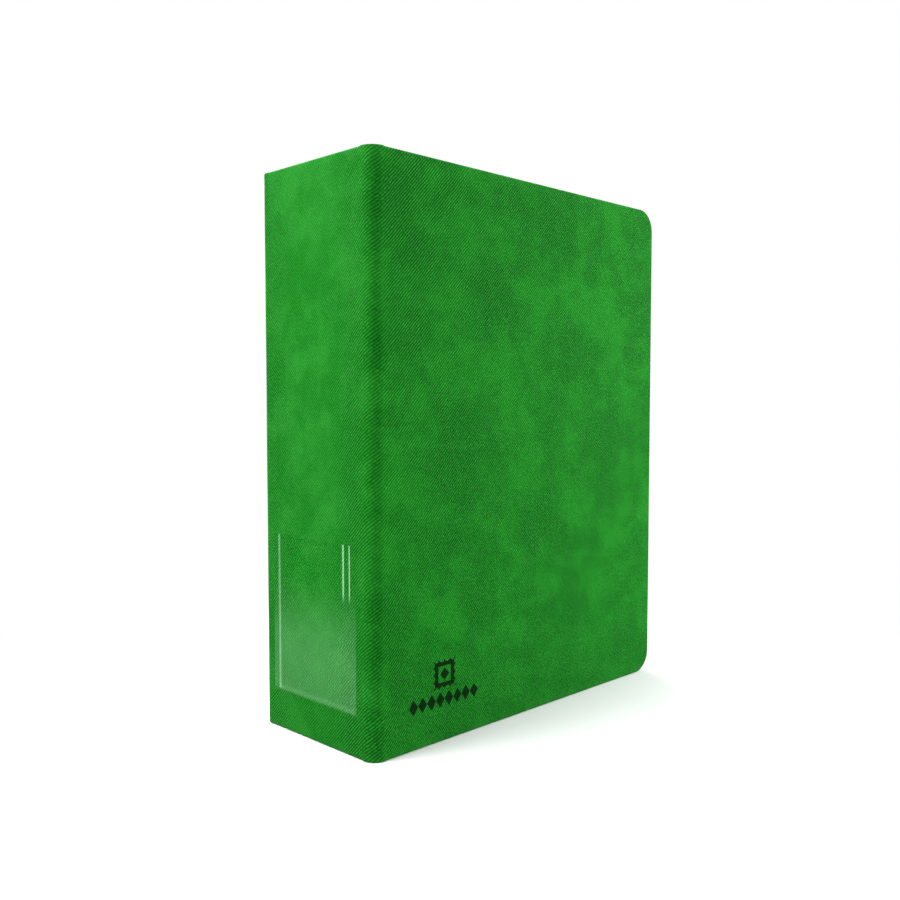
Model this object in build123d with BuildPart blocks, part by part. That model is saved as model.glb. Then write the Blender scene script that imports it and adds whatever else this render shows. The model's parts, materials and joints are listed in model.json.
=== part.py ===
"""Ring-bound stamp album: a cloth-covered board case, a D-ring mechanism on its back
cover, and eight stock leaves with clear pocket strips.

The album stands closed and upright. The origin is the bottom centre of the closed
album's box. +X runs from the spine to the fore-edge, -Y is the front cover's outward
side, and +Z is up. Lengths are millimetres, angles are degrees.
"""

from build123d import *
import os

os.makedirs("parts", exist_ok=True)

# Case: overall sizes of the closed album
COVER_WIDTH = 254.8      # spine's outer face to the fore-edge
HEIGHT = 320.0
DEPTH = 100.0            # front cover's outer face to the back cover's
BEND_R = 8.0             # outer radius where the spine turns into a cover
CORNER_R = 14.0          # rounded corners at the fore-edge
SPLIT_ANGLE = 0.4        # half of the gap at the middle of each bend

# Case: layers, from the outside in
SKIN = 0.7
BOARD = 2.2
LINING = 0.5
WALL = SKIN + BOARD + LINING
BOARD_SETBACK = BEND_R + 1.0   # from a virtual spine corner to a board's edge
LINING_MARGIN = 3.0            # turned-in skin left showing round a lining

# Label pocket on the spine
POCKET_WIDTH = 74.0
POCKET_SHIFT = 1.2       # welded a little nearer the back cover
POCKET_BOTTOM = 18.6
POCKET_TOP = 113.0
POCKET_PROUD = 1.2       # raised film above the spine's face
POCKET_FILM = 0.3
POCKET_FLANGE = 6.0      # welded border, left, right and below

OVERALL_WIDTH = COVER_WIDTH + POCKET_PROUD
SPINE_X = -OVERALL_WIDTH / 2 + POCKET_PROUD
FORE_X = OVERALL_WIDTH / 2
BACK_Y = DEPTH / 2
MIDDLE_Z = HEIGHT / 2
BOARD_X = SPINE_X + BOARD_SETBACK
BEND_CENTRE = (SPINE_X + BEND_R, -BACK_Y + BEND_R)

# D-rings. u is measured in +X from the straight legs, v from the back lining
# towards the front cover.
LEG_X = SPINE_X + 39.0
BASE_Y = BACK_Y - WALL
WIRE_R = 2.0
RING_HEIGHT = 78.0       # v of the wire's centre line at the top
RING_SPLIT_U = -14.0     # where the two halves of a ring meet
LEG_BEND_R = 14.0
ARCH_BEND_R = 12.0
RING_SPACING = 108.0
TIP_ANGLE = 0.25         # each half stops this far short of the split
WIRE_FOOT = 2.2          # v of a wire's riveted end
WIRE_UPRIGHT = 9.0       # v where the arch half starts to lean
RING_HEIGHTS = [MIDDLE_Z - RING_SPACING, MIDDLE_Z, MIDDLE_Z + RING_SPACING]

# Rail that carries the mechanism
RAIL_LEFT = -27.0
RAIL_RIGHT = 6.0
RAIL_MIDDLE = (RAIL_LEFT + RAIL_RIGHT) / 2
RAIL_LENGTH = 284.0
RAIL_HEIGHT = 8.0
RAIL_SHOULDER = 4.2
RAIL_WALL = 1.1
RAIL_LIP = 1.4
RAIL_LIP_HEIGHT = 0.9
LEG_SLOT = (5.6, 5.2)    # along u, along the album's height
LEG_SLOT_SHIFT = 0.4     # slots reach outwards, the way the wires swing

# Blades that carry the wires, side by side inside the rail
BLADE = 1.4
BLADE_V = 3.7            # mid-plane and pivot line
BLADE_CLEARANCE = 0.05   # blade's round edge to the rail's wall
BLADE_PIVOT_U = RAIL_RIGHT - RAIL_WALL - BLADE / 2 - BLADE_CLEARANCE
BLADE_LENGTH = 273.2
BLADE_GAP = 0.2
ARCH_FOOT_U = 2 * RAIL_MIDDLE

# Rivets that hold the rail to the back board
RIVET_SPACING = 108.0
RIVET_R = 2.0
RIVET_HEAD_R = 5.0
RIVET_HEAD = 1.2
RIVET_DOME_R = 4.5
RIVET_DOME = 1.3
RIVET_DOME_TAPER = 30.0
RIVET_NOTCH_R = 3.5

# Opening triggers at both ends of the rail
TRIGGER_WIDTH = 14.0
TRIGGER_BOSS_R = 2.4
TRIGGER_PLATE = 2.0
TRIGGER_BEND = (2.9, 8.5)    # height above the pin and v at the plate's middle
TRIGGER_TIP = (8.5, 15.5)    # the same at the plate's free end
PIN_R = 1.0
PIN_CLEARANCE = 0.05
PIN_V = 2.6
PIN_INSET = 2.5          # pin's axis to the rail's end
TONGUE_WIDTH = 5.0
TONGUE_LENGTH = 6.0
TONGUE = 1.2
TRIGGER_NOTCH = (15.0, 5.0)

# Stock leaves
LEAF_COUNT = 8
LEAF_FIRST_V = 12.0
LEAF_PITCH = 4.0
LEAF_HEIGHT = 280.0
LEAF_LEFT = -7.0         # u of the bound edge
LEAF_FOLD = 9.0          # u of the scored fold
LEAF_RIGHT = 209.0       # u of the free edge
LEAF = 0.6
FOLD_GAP = 0.3           # each side of the fold line
BINDING_SLOT = (9.4, 7.0)
BINDING_SLOT_U = 2.0
STRIP = 0.2
STRIP_ROWS = 5
STRIP_PITCH = 54.0
STRIP_HEIGHT = 46.0
STRIP_LEFT = 15.0
STRIP_RIGHT = 205.0


def plan_plane(z):
    """Level plane at height z in which local X is u, local Y is v, normal is -Z."""
    return Plane(origin=(LEG_X, BASE_Y, z), x_dir=(1, 0, 0), z_dir=(0, 0, -1))


def face_plane(v):
    """Plane parallel to the covers at v: local X is u, local Y is height above Z = 0."""
    return Plane(origin=(LEG_X, BASE_Y, 0), x_dir=(1, 0, 0), z_dir=(0, -1, 0)).offset(v)


def save(piece, label):
    """Label a finished piece and write it to its own file."""
    piece.part.label = label
    export_step(piece.part, f"parts/{label}.step")


# ---- Case -------------------------------------------------------------------------


def cover_outline(left, inset):
    """Draw a cover from x = left, inset from the other three edges, in the open sketch."""
    right = FORE_X - inset
    with Locations(((left + right) / 2, MIDDLE_Z)):
        Rectangle(right - left, HEIGHT - 2 * inset)
    fore_edge = vertices().group_by(Axis.X)[-1]
    fillet(fore_edge, CORNER_R - inset)


def bend_band(start_angle):
    """Plan of the skin over one half of the front bend, as a sketch."""
    arc = 45.0 - SPLIT_ANGLE
    with BuildSketch() as band:
        with BuildLine():
            outer = CenterArc(BEND_CENTRE, BEND_R, start_angle, arc)
            inner = CenterArc(BEND_CENTRE, BEND_R - SKIN, start_angle, arc)
            Line(outer @ 0, inner @ 0)
            Line(outer @ 1, inner @ 1)
        make_face()
    return band.sketch


front_face = Plane.XZ.offset(BACK_Y)

# The skin folds over the board's three free edges; a bare band of it runs on round
# the bend, up to the split in the bend's middle.
with BuildPart() as front_cover_skin:
    with BuildSketch(front_face):
        cover_outline(BOARD_X, 0)
    extrude(amount=-(SKIN + BOARD))
    with BuildSketch(front_face.offset(-SKIN)):
        cover_outline(BOARD_X, SKIN)
    extrude(amount=-BOARD, mode=Mode.SUBTRACT)
    with BuildSketch(Plane.XY):
        add(bend_band(225.0 + SPLIT_ANGLE))
        with Locations((BEND_CENTRE[0], -BACK_Y)):
            Rectangle(BOARD_SETBACK - BEND_R, SKIN, align=Align.MIN)
    extrude(amount=HEIGHT)

with BuildPart() as front_cover_board:
    with BuildSketch(front_face.offset(-SKIN)):
        cover_outline(BOARD_X, SKIN)
    extrude(amount=-BOARD)

with BuildPart() as front_cover_lining:
    with BuildSketch(front_face.offset(-(SKIN + BOARD))):
        cover_outline(BOARD_X, LINING_MARGIN)
    extrude(amount=-LINING)

save(front_cover_skin, "front_cover_skin")
save(front_cover_board, "front_cover_board")
save(front_cover_lining, "front_cover_lining")

with BuildPart() as back_cover_skin:
    mirror(front_cover_skin.part, about=Plane.XZ)
save(back_cover_skin, "back_cover_skin")

# The rivet heads sink into the board, so the skin lies flat over them.
rivet_axes = Plane(
    origin=(LEG_X + RAIL_MIDDLE, BACK_Y - SKIN, MIDDLE_Z), x_dir=(-1, 0, 0), z_dir=(0, 1, 0)
)
with BuildPart() as back_cover_board:
    mirror(front_cover_board.part, about=Plane.XZ)
    with Locations(rivet_axes):
        with GridLocations(1, RIVET_SPACING, 1, 2):
            CounterBoreHole(RIVET_R, RIVET_HEAD_R, RIVET_HEAD, BOARD)
save(back_cover_board, "back_cover_board")

with BuildPart() as back_cover_lining:
    mirror(front_cover_lining.part, about=Plane.XZ)
    with Locations(rivet_axes.offset(-BOARD)):
        with GridLocations(1, RIVET_SPACING, 1, 2):
            Hole(RIVET_R, LINING)
save(back_cover_lining, "back_cover_lining")

spine_face = Plane(origin=(SPINE_X, 0, MIDDLE_Z), x_dir=(0, -1, 0), z_dir=(-1, 0, 0))
spine_flat = DEPTH - 2 * BOARD_SETBACK

with BuildPart() as spine_skin:
    with BuildSketch(Plane.XY):
        add(bend_band(180.0))
        mirror(about=Plane.XZ)
        with Locations((SPINE_X, 0)):
            Rectangle(SKIN, DEPTH - 2 * BEND_R, align=(Align.MIN, Align.CENTER))
    extrude(amount=HEIGHT)
    with BuildSketch(spine_face.offset(-SKIN)):
        Rectangle(spine_flat, HEIGHT)
        Rectangle(spine_flat, HEIGHT - 2 * SKIN, mode=Mode.SUBTRACT)
    extrude(amount=-BOARD)
save(spine_skin, "spine_skin")

with BuildPart() as spine_board:
    with BuildSketch(spine_face.offset(-SKIN)):
        Rectangle(spine_flat, HEIGHT - 2 * SKIN)
    extrude(amount=-BOARD)
save(spine_board, "spine_board")

with BuildPart() as spine_lining:
    with BuildSketch(spine_face.offset(-(SKIN + BOARD))):
        Rectangle(spine_flat, HEIGHT - 2 * LINING_MARGIN)
    extrude(amount=-LINING)
save(spine_lining, "spine_lining")

# Clear film welded to the spine on three sides, raised inside the weld, open at the top
pocket_height = POCKET_TOP - POCKET_BOTTOM
pocket_plane = Plane(
    origin=(SPINE_X, POCKET_SHIFT, POCKET_BOTTOM), x_dir=(0, -1, 0), z_dir=(-1, 0, 0)
)
with BuildPart() as label_pocket:
    with BuildSketch(pocket_plane):
        Rectangle(POCKET_WIDTH, pocket_height, align=(Align.CENTER, Align.MIN))
    extrude(amount=POCKET_FILM)
    with BuildSketch(pocket_plane):
        with Locations((0, POCKET_FLANGE)):
            Rectangle(
                POCKET_WIDTH - 2 * POCKET_FLANGE,
                pocket_height - POCKET_FLANGE,
                align=(Align.CENTER, Align.MIN),
            )
    extrude(amount=POCKET_PROUD)
    with BuildSketch(pocket_plane):
        with Locations((0, POCKET_FLANGE + POCKET_FILM)):
            Rectangle(
                POCKET_WIDTH - 2 * (POCKET_FLANGE + POCKET_FILM),
                pocket_height,
                align=(Align.CENTER, Align.MIN),
            )
    extrude(amount=POCKET_PROUD - POCKET_FILM, mode=Mode.SUBTRACT)
save(label_pocket, "label_pocket")

# ---- Ring mechanism ---------------------------------------------------------------

rail_top = MIDDLE_Z + RAIL_LENGTH / 2
pin_z = rail_top - PIN_INSET


def rail_arch(wall):
    """Rail's arched top between its shoulders, wall inside the outer face."""
    ThreePointArc(
        (RAIL_LEFT + wall, RAIL_SHOULDER),
        (RAIL_MIDDLE, RAIL_HEIGHT - wall),
        (RAIL_RIGHT - wall, RAIL_SHOULDER),
    )


with BuildPart() as ring_rail:
    with BuildSketch(plan_plane(rail_top)):
        with BuildLine():
            rail_arch(0)
            Polyline(
                (RAIL_RIGHT, RAIL_SHOULDER), (RAIL_RIGHT, 0), (RAIL_LEFT, 0), (RAIL_LEFT, RAIL_SHOULDER)
            )
        make_face()
        with BuildLine():
            rail_arch(RAIL_WALL)
            Polyline(
                (RAIL_RIGHT - RAIL_WALL, RAIL_SHOULDER),
                (RAIL_RIGHT - RAIL_WALL, RAIL_LIP_HEIGHT),
                (RAIL_LEFT + RAIL_WALL, RAIL_LIP_HEIGHT),
                (RAIL_LEFT + RAIL_WALL, RAIL_SHOULDER),
            )
        make_face(mode=Mode.SUBTRACT)
        with Locations((RAIL_MIDDLE, 0)):
            Rectangle(
                RAIL_RIGHT - RAIL_LEFT - 2 * (RAIL_WALL + RAIL_LIP),
                RAIL_LIP_HEIGHT,
                align=(Align.CENTER, Align.MIN),
                mode=Mode.SUBTRACT,
            )
    extrude(amount=RAIL_LENGTH)
    with BuildSketch(face_plane(RAIL_SHOULDER)):
        with Locations([(LEG_SLOT_SHIFT, z) for z in RING_HEIGHTS]):
            Rectangle(*LEG_SLOT)
        with Locations([(ARCH_FOOT_U - LEG_SLOT_SHIFT, z) for z in RING_HEIGHTS]):
            Rectangle(*LEG_SLOT)
        with Locations((RAIL_MIDDLE, MIDDLE_Z)):
            with GridLocations(1, RAIL_LENGTH - TRIGGER_NOTCH[1], 1, 2):
                Rectangle(*TRIGGER_NOTCH)
            with GridLocations(1, RIVET_SPACING, 1, 2):
                Circle(RIVET_R)
    extrude(amount=RAIL_HEIGHT, mode=Mode.SUBTRACT)
    with BuildSketch(Plane.YZ.offset(LEG_X + RAIL_LEFT)):
        with Locations((BASE_Y - PIN_V, MIDDLE_Z)):
            with GridLocations(1, 2 * (pin_z - MIDDLE_Z), 1, 2):
                Circle(PIN_R)
    extrude(amount=RAIL_RIGHT - RAIL_LEFT, mode=Mode.SUBTRACT)
save(ring_rail, "ring_rail")

with BuildPart() as mounting_rivets:
    with BuildSketch(rivet_axes):
        with GridLocations(1, RIVET_SPACING, 1, 2):
            Circle(RIVET_HEAD_R)
    extrude(amount=-RIVET_HEAD)
    with BuildSketch(rivet_axes):
        with GridLocations(1, RIVET_SPACING, 1, 2):
            Circle(RIVET_R)
    extrude(amount=-(BOARD + LINING + RAIL_HEIGHT))
    with BuildSketch(face_plane(RAIL_HEIGHT)):
        with Locations((RAIL_MIDDLE, MIDDLE_Z)):
            with GridLocations(1, RIVET_SPACING, 1, 2):
                Circle(RIVET_DOME_R)
    extrude(amount=RIVET_DOME, taper=RIVET_DOME_TAPER)
save(mounting_rivets, "mounting_rivets")

blade_width = BLADE_PIVOT_U - RAIL_MIDDLE - BLADE_GAP / 2

with BuildPart() as fore_blade:
    with BuildSketch(plan_plane(MIDDLE_Z + BLADE_LENGTH / 2)):
        with Locations((BLADE_PIVOT_U, BLADE_V)):
            Rectangle(blade_width, BLADE, align=(Align.MAX, Align.CENTER))
            Circle(BLADE / 2)
    extrude(amount=BLADE_LENGTH)
    with BuildSketch(face_plane(BLADE_V - BLADE)):
        with Locations([(0, z) for z in RING_HEIGHTS]):
            Circle(WIRE_R)
        with Locations((RAIL_MIDDLE, MIDDLE_Z)):
            with GridLocations(1, RIVET_SPACING, 1, 2):
                Circle(RIVET_NOTCH_R)
    extrude(amount=2 * BLADE, mode=Mode.SUBTRACT)
save(fore_blade, "fore_blade")

with BuildPart() as spine_blade:
    mirror(fore_blade.part, about=Plane.YZ.offset(LEG_X + RAIL_MIDDLE))
save(spine_blade, "spine_blade")


def ring_leg(z):
    """Straight half of the D-ring at height z: a leg, then a quarter bend to the split."""
    bend_v = RING_HEIGHT - LEG_BEND_R
    with BuildPart() as leg:
        with BuildLine(plan_plane(z)) as wire:
            Line((0, WIRE_FOOT), (0, bend_v))
            CenterArc((-LEG_BEND_R, bend_v), LEG_BEND_R, 0, 90 - TIP_ANGLE)
        with BuildSketch(face_plane(WIRE_FOOT)):
            with Locations((0, z)):
                Circle(WIRE_R)
        sweep(path=wire.wires()[0])
    return leg


def ring_arch(z):
    """Arched half of the D-ring at height z: a leaning upright, then a bend to the split."""
    bend_v = RING_HEIGHT - ARCH_BEND_R
    bulge_u = RING_SPLIT_U - ARCH_BEND_R
    lean_v = (WIRE_UPRIGHT + bend_v) / 2
    with BuildPart() as arch:
        with BuildLine(plan_plane(z)) as wire:
            Line((ARCH_FOOT_U, WIRE_FOOT), (ARCH_FOOT_U, WIRE_UPRIGHT))
            Bezier((ARCH_FOOT_U, WIRE_UPRIGHT), (ARCH_FOOT_U, lean_v), (bulge_u, lean_v), (bulge_u, bend_v))
            CenterArc((RING_SPLIT_U, bend_v), ARCH_BEND_R, 180, TIP_ANGLE - 90)
        with BuildSketch(face_plane(WIRE_FOOT)):
            with Locations((ARCH_FOOT_U, z)):
                Circle(WIRE_R)
        sweep(path=wire.wires()[0])
    return arch


for place, height in zip(("bottom", "middle", "top"), RING_HEIGHTS):
    save(ring_leg(height), f"ring_leg_{place}")
    save(ring_arch(height), f"ring_arch_{place}")


def trigger_plane(u):
    """Plane across the rail at u: local X is height above the top pin, local Y is v."""
    return Plane(origin=(LEG_X + u, BASE_Y, pin_z), x_dir=(0, 0, 1), z_dir=(1, 0, 0))


with BuildPart() as trigger_top:
    with BuildSketch(trigger_plane(RAIL_MIDDLE)):
        with BuildLine():
            ThreePointArc((0, PIN_V), TRIGGER_BEND, TRIGGER_TIP)
        trace(line_width=TRIGGER_PLATE)
        with Locations((0, PIN_V)):
            Circle(TRIGGER_BOSS_R)
    extrude(amount=TRIGGER_WIDTH / 2, both=True)
    with BuildSketch(trigger_plane(RAIL_MIDDLE)):
        with Locations((0, PIN_V)):
            Rectangle(TONGUE_LENGTH, TONGUE, align=Align.MAX)
    extrude(amount=TONGUE_WIDTH / 2, both=True)
    with BuildSketch(trigger_plane(RAIL_MIDDLE)):
        with Locations((0, PIN_V)):
            Circle(PIN_R + PIN_CLEARANCE)
    extrude(amount=TRIGGER_WIDTH / 2, both=True, mode=Mode.SUBTRACT)

with BuildPart() as trigger_pin_top:
    with BuildSketch(trigger_plane(RAIL_LEFT)):
        with Locations((0, PIN_V)):
            Circle(PIN_R)
    extrude(amount=RAIL_RIGHT - RAIL_LEFT)

with BuildPart() as trigger_bottom:
    mirror(trigger_top.part, about=Plane.XY.offset(MIDDLE_Z))

with BuildPart() as trigger_pin_bottom:
    mirror(trigger_pin_top.part, about=Plane.XY.offset(MIDDLE_Z))

save(trigger_top, "trigger_top")
save(trigger_pin_top, "trigger_pin_top")
save(trigger_bottom, "trigger_bottom")
save(trigger_pin_bottom, "trigger_pin_bottom")

# ---- Stock leaves -----------------------------------------------------------------


def leaf_v(index):
    """Mid-plane of a leaf, counted from the back cover."""
    return LEAF_FIRST_V + index * LEAF_PITCH


def span(left, right, height):
    """Draw a rectangle from u = left to u = right, centred on the album's mid-height."""
    with Locations(((left + right) / 2, MIDDLE_Z)):
        Rectangle(right - left, height)


# Bound edges of all the leaves, punched with slots in which the legs swing open
with BuildPart() as leaf_binding_strips:
    for index in range(LEAF_COUNT):
        with BuildSketch(face_plane(leaf_v(index) - LEAF / 2)):
            span(LEAF_LEFT, LEAF_FOLD - FOLD_GAP, LEAF_HEIGHT)
            with Locations([(BINDING_SLOT_U, z) for z in RING_HEIGHTS]):
                Rectangle(*BINDING_SLOT, mode=Mode.SUBTRACT)
        extrude(amount=LEAF)
save(leaf_binding_strips, "leaf_binding_strips")


def leaf_sheet(index):
    """Free part of a leaf, from the scored fold to the fore-edge."""
    with BuildPart() as sheet:
        with BuildSketch(face_plane(leaf_v(index) - LEAF / 2)):
            span(LEAF_FOLD + FOLD_GAP, LEAF_RIGHT, LEAF_HEIGHT)
        extrude(amount=LEAF)
    return sheet


def leaf_pockets(index):
    """Rows of clear strips on both sides of a leaf."""
    with BuildPart() as pockets:
        for outer_face in (-LEAF / 2 - STRIP, LEAF / 2):
            with BuildSketch(face_plane(leaf_v(index) + outer_face)):
                with Locations(((STRIP_LEFT + STRIP_RIGHT) / 2, MIDDLE_Z)):
                    with GridLocations(1, STRIP_PITCH, 1, STRIP_ROWS):
                        Rectangle(STRIP_RIGHT - STRIP_LEFT, STRIP_HEIGHT)
            extrude(amount=STRIP)
    return pockets


for index in range(LEAF_COUNT):
    save(leaf_sheet(index), f"leaf_{index + 1}_sheet")
    save(leaf_pockets(index), f"leaf_{index + 1}_pockets")
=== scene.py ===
import json
import math

import bpy
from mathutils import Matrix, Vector
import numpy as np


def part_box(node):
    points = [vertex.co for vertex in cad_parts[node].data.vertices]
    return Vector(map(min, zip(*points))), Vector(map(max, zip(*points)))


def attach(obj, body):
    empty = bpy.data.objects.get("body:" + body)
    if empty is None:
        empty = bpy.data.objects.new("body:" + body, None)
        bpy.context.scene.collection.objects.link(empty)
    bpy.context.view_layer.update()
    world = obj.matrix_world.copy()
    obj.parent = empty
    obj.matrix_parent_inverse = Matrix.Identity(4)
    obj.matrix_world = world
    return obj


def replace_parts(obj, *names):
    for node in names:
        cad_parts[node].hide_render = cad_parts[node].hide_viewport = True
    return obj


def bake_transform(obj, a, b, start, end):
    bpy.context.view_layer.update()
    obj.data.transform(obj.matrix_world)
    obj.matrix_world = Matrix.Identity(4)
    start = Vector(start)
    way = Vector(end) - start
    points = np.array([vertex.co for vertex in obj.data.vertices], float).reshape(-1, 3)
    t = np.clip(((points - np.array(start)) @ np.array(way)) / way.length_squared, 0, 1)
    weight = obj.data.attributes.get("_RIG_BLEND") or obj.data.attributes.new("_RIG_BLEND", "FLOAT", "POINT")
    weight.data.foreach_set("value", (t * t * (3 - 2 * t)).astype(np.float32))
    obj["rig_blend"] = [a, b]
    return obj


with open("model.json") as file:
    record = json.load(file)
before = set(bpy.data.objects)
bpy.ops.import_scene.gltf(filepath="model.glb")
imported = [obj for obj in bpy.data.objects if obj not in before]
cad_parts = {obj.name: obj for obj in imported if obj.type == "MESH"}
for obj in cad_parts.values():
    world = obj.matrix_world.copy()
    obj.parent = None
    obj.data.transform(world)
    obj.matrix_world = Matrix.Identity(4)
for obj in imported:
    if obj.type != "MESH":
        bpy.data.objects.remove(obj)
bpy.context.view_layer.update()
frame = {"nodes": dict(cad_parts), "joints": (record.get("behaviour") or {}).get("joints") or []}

# Everything below is worked out in millimetres, in the CAD frame, and turned into metres
# where a mesh is made.
MM = 0.001


def box_mm(node):
    """Lowest and highest corners of a CAD node, in millimetres."""
    low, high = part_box(node)
    return low / MM, high / MM


# ---- Sizes, from the frame ----------------------------------------------------------

spine_low = box_mm("spine_skin")[0]
front_low, front_high = box_mm("front_cover_skin")
back_high = box_mm("back_cover_skin")[1]
lining_low, lining_high = box_mm("front_cover_lining")
pocket_low, pocket_high = box_mm("label_pocket")

SPINE_X = spine_low.x
FORE_X = front_high.x
FRONT_Y = front_low.y
BACK_Y = back_high.y
HEIGHT = front_high.z - front_low.z
HALF_DEPTH = (BACK_Y - FRONT_Y) / 2
BEND_R = 8.0                                  # outer radius of the bends
CORNER_R = 14.0                               # rounded fore-edge corners
WRAP = front_high.y - front_low.y             # skin and board together
LINING = lining_high.y - lining_low.y
LINING_MARGIN = FORE_X - lining_high.x
GAP_WRAP = 1.0                                # skin and turn-in between two boards
WELD = 5.2                                    # edge of the pocket's film to its first weld
SECOND_WELD = 5.0                             # from there to the line beside it

# Distances round the case, from the middle of the spine along its outer face
SPINE_FLAT = HALF_DEPTH - BEND_R
BEND_LENGTH = math.pi / 2 * BEND_R
BEND_MIDDLE = SPINE_FLAT + BEND_LENGTH / 2
COVER_START = SPINE_FLAT + BEND_LENGTH
CASE_END = COVER_START + FORE_X - SPINE_X - BEND_R
CORNER_START = CASE_END - CORNER_R

# ---- Node graphs --------------------------------------------------------------------

MIX_A, MIX_B, MIX_RESULT = 6, 7, 2             # colour sockets of Blender's mix node


class Graph:
    """Adds nodes to one material and joins them. Inputs may be sockets or plain values."""

    def __init__(self, name):
        self.material = bpy.data.materials.new(name)
        self.material.use_nodes = True
        self.tree = self.material.node_tree
        self.tree.nodes.clear()

    def product(self, *factors):
        total = factors[0]
        for factor in factors[1:]:
            total = self.math("MULTIPLY", total, factor)
        return total

    def feed(self, socket, value):
        if isinstance(value, bpy.types.NodeSocket):
            self.tree.links.new(value, socket)
        elif value is not None:
            socket.default_value = value

    def node(self, kind, inputs=None, **settings):
        node = self.tree.nodes.new(kind)
        for key, value in settings.items():
            setattr(node, key, value)
        for key, value in (inputs or {}).items():
            self.feed(node.inputs[key], value)
        return node

    def math(self, operation, a, b=None, c=None):
        node = self.node("ShaderNodeMath", operation=operation)
        for socket, value in zip(node.inputs, (a, b, c)):
            self.feed(socket, value)
        return node.outputs[0]

    def blend(self, factor, a, b):
        """Colour a where factor is 0, colour b where it is 1."""
        node = self.node("ShaderNodeMix", data_type="RGBA")
        self.feed(node.inputs[0], factor)
        self.feed(node.inputs[MIX_A], a)
        self.feed(node.inputs[MIX_B], b)
        return node.outputs[MIX_RESULT]

    def spread(self, value, low, high, new_low=0.0, new_high=1.0, smooth=True):
        kind = "SMOOTHSTEP" if smooth else "LINEAR"
        names = ("Value", "From Min", "From Max", "To Min", "To Max")
        inputs = dict(zip(names, (value, low, high, new_low, new_high)))
        return self.node("ShaderNodeMapRange", inputs, interpolation_type=kind).outputs[0]

    def noise(self, vector, scale, detail=2.0, roughness=0.5, distortion=0.0):
        inputs = {
            "Vector": vector,
            "Scale": scale,
            "Detail": detail,
            "Roughness": roughness,
            "Distortion": distortion,
        }
        return self.node("ShaderNodeTexNoise", inputs).outputs[0]

    def scaled(self, vector, factors):
        node = self.node("ShaderNodeVectorMath", operation="MULTIPLY")
        self.feed(node.inputs[0], vector)
        self.feed(node.inputs[1], factors)
        return node.outputs[0]

    def position(self):
        """Place on the piece in millimetres, for pieces that never bend."""
        coordinates = self.node("ShaderNodeTexCoord").outputs["Object"]
        return self.scaled(coordinates, (1 / MM, 1 / MM, 1 / MM))

    def bump(self, height, distance, strength=1.0):
        inputs = {"Height": height, "Distance": distance, "Strength": strength}
        return self.node("ShaderNodeBump", inputs).outputs[0]

    def finish(self, shader):
        output = self.node("ShaderNodeOutputMaterial")
        self.tree.links.new(shader.outputs[0], output.inputs["Surface"])
        return self.material


# ---- Materials ----------------------------------------------------------------------
# Noise scales are per millimetre, and colours are linear RGBA.

WEAVE_ANGLE = math.radians(46.5)     # rise of the ribs, seen on a flat cover
WEAVE_PERIOD = 1.36                  # from rib to rib
WANDER = 1.1                         # how far the ribs drift over centimetres, in ribs
TREMBLE = 0.28                       # how far they tremble over millimetres, in ribs
FLOATS_ACROSS = 1.6                  # how much shorter the floats' noise is across the ribs


def weave_nodes(graph):
    """Diagonal ribs from the weave map: their height, and the place map they wander with."""
    weave = graph.node("ShaderNodeUVMap", uv_map="weave").outputs[0]
    place = graph.node("ShaderNodeUVMap", uv_map="place").outputs[0]
    parts = graph.node("ShaderNodeSeparateXYZ", {0: weave})
    across = graph.math(
        "SUBTRACT",
        graph.math("MULTIPLY", parts.outputs[1], math.cos(WEAVE_ANGLE) / WEAVE_PERIOD),
        graph.math("MULTIPLY", parts.outputs[0], math.sin(WEAVE_ANGLE) / WEAVE_PERIOD),
    )
    wander = graph.noise(place, 0.09, detail=3.0)
    tremble = graph.noise(place, 0.7, detail=1.0)
    phase = graph.math("MULTIPLY_ADD", wander, WANDER, across)
    phase = graph.math("MULTIPLY_ADD", tremble, TREMBLE, phase)
    wave = graph.math("COSINE", graph.math("MULTIPLY", phase, 2 * math.pi))
    rib = graph.math("MULTIPLY_ADD", wave, 0.5, 0.5)
    # Each rib is a row of short floats of yarn, so it is cut up along its length.
    along = graph.math(
        "ADD",
        graph.math("MULTIPLY", parts.outputs[0], math.cos(WEAVE_ANGLE)),
        graph.math("MULTIPLY", parts.outputs[1], math.sin(WEAVE_ANGLE)),
    )
    cell = graph.math("MULTIPLY", phase, FLOATS_ACROSS)
    cells = graph.node("ShaderNodeCombineXYZ", {0: cell, 1: along})
    floats = graph.noise(cells.outputs[0], 0.85, detail=1.0)
    rib = graph.math("MULTIPLY", rib, graph.spread(floats, 0.34, 0.60, 0.40, 1.0))
    return rib, place


# Painted reflection under the label pocket: a pale haze standing for the film's reflection of the table, and
# painted highlights standing for light caught by the weld beads.
PAINTED_HAZE_HEIGHTS = (95.0, 45.0)          # where the painted haze, the film's reflection of the table, begins and is full
PAINTED_HAZE = 0.092                         # how much paler the painted haze makes the nap
PAINTED_THIN_GLINTS = 0.52                    # the same for the painted highlights of the two lines near the mouth
PAINTED_WIDE_GLINT = 0.26                     # painted highlight along the weld beside the back cover
PAINTED_LOW_GLINT = 0.05                      # painted highlight along the weld at the pocket's foot
PAINTED_THIN_GLINT_LENGTH = 24.5              # how far down from the mouth the two painted highlights show


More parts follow.
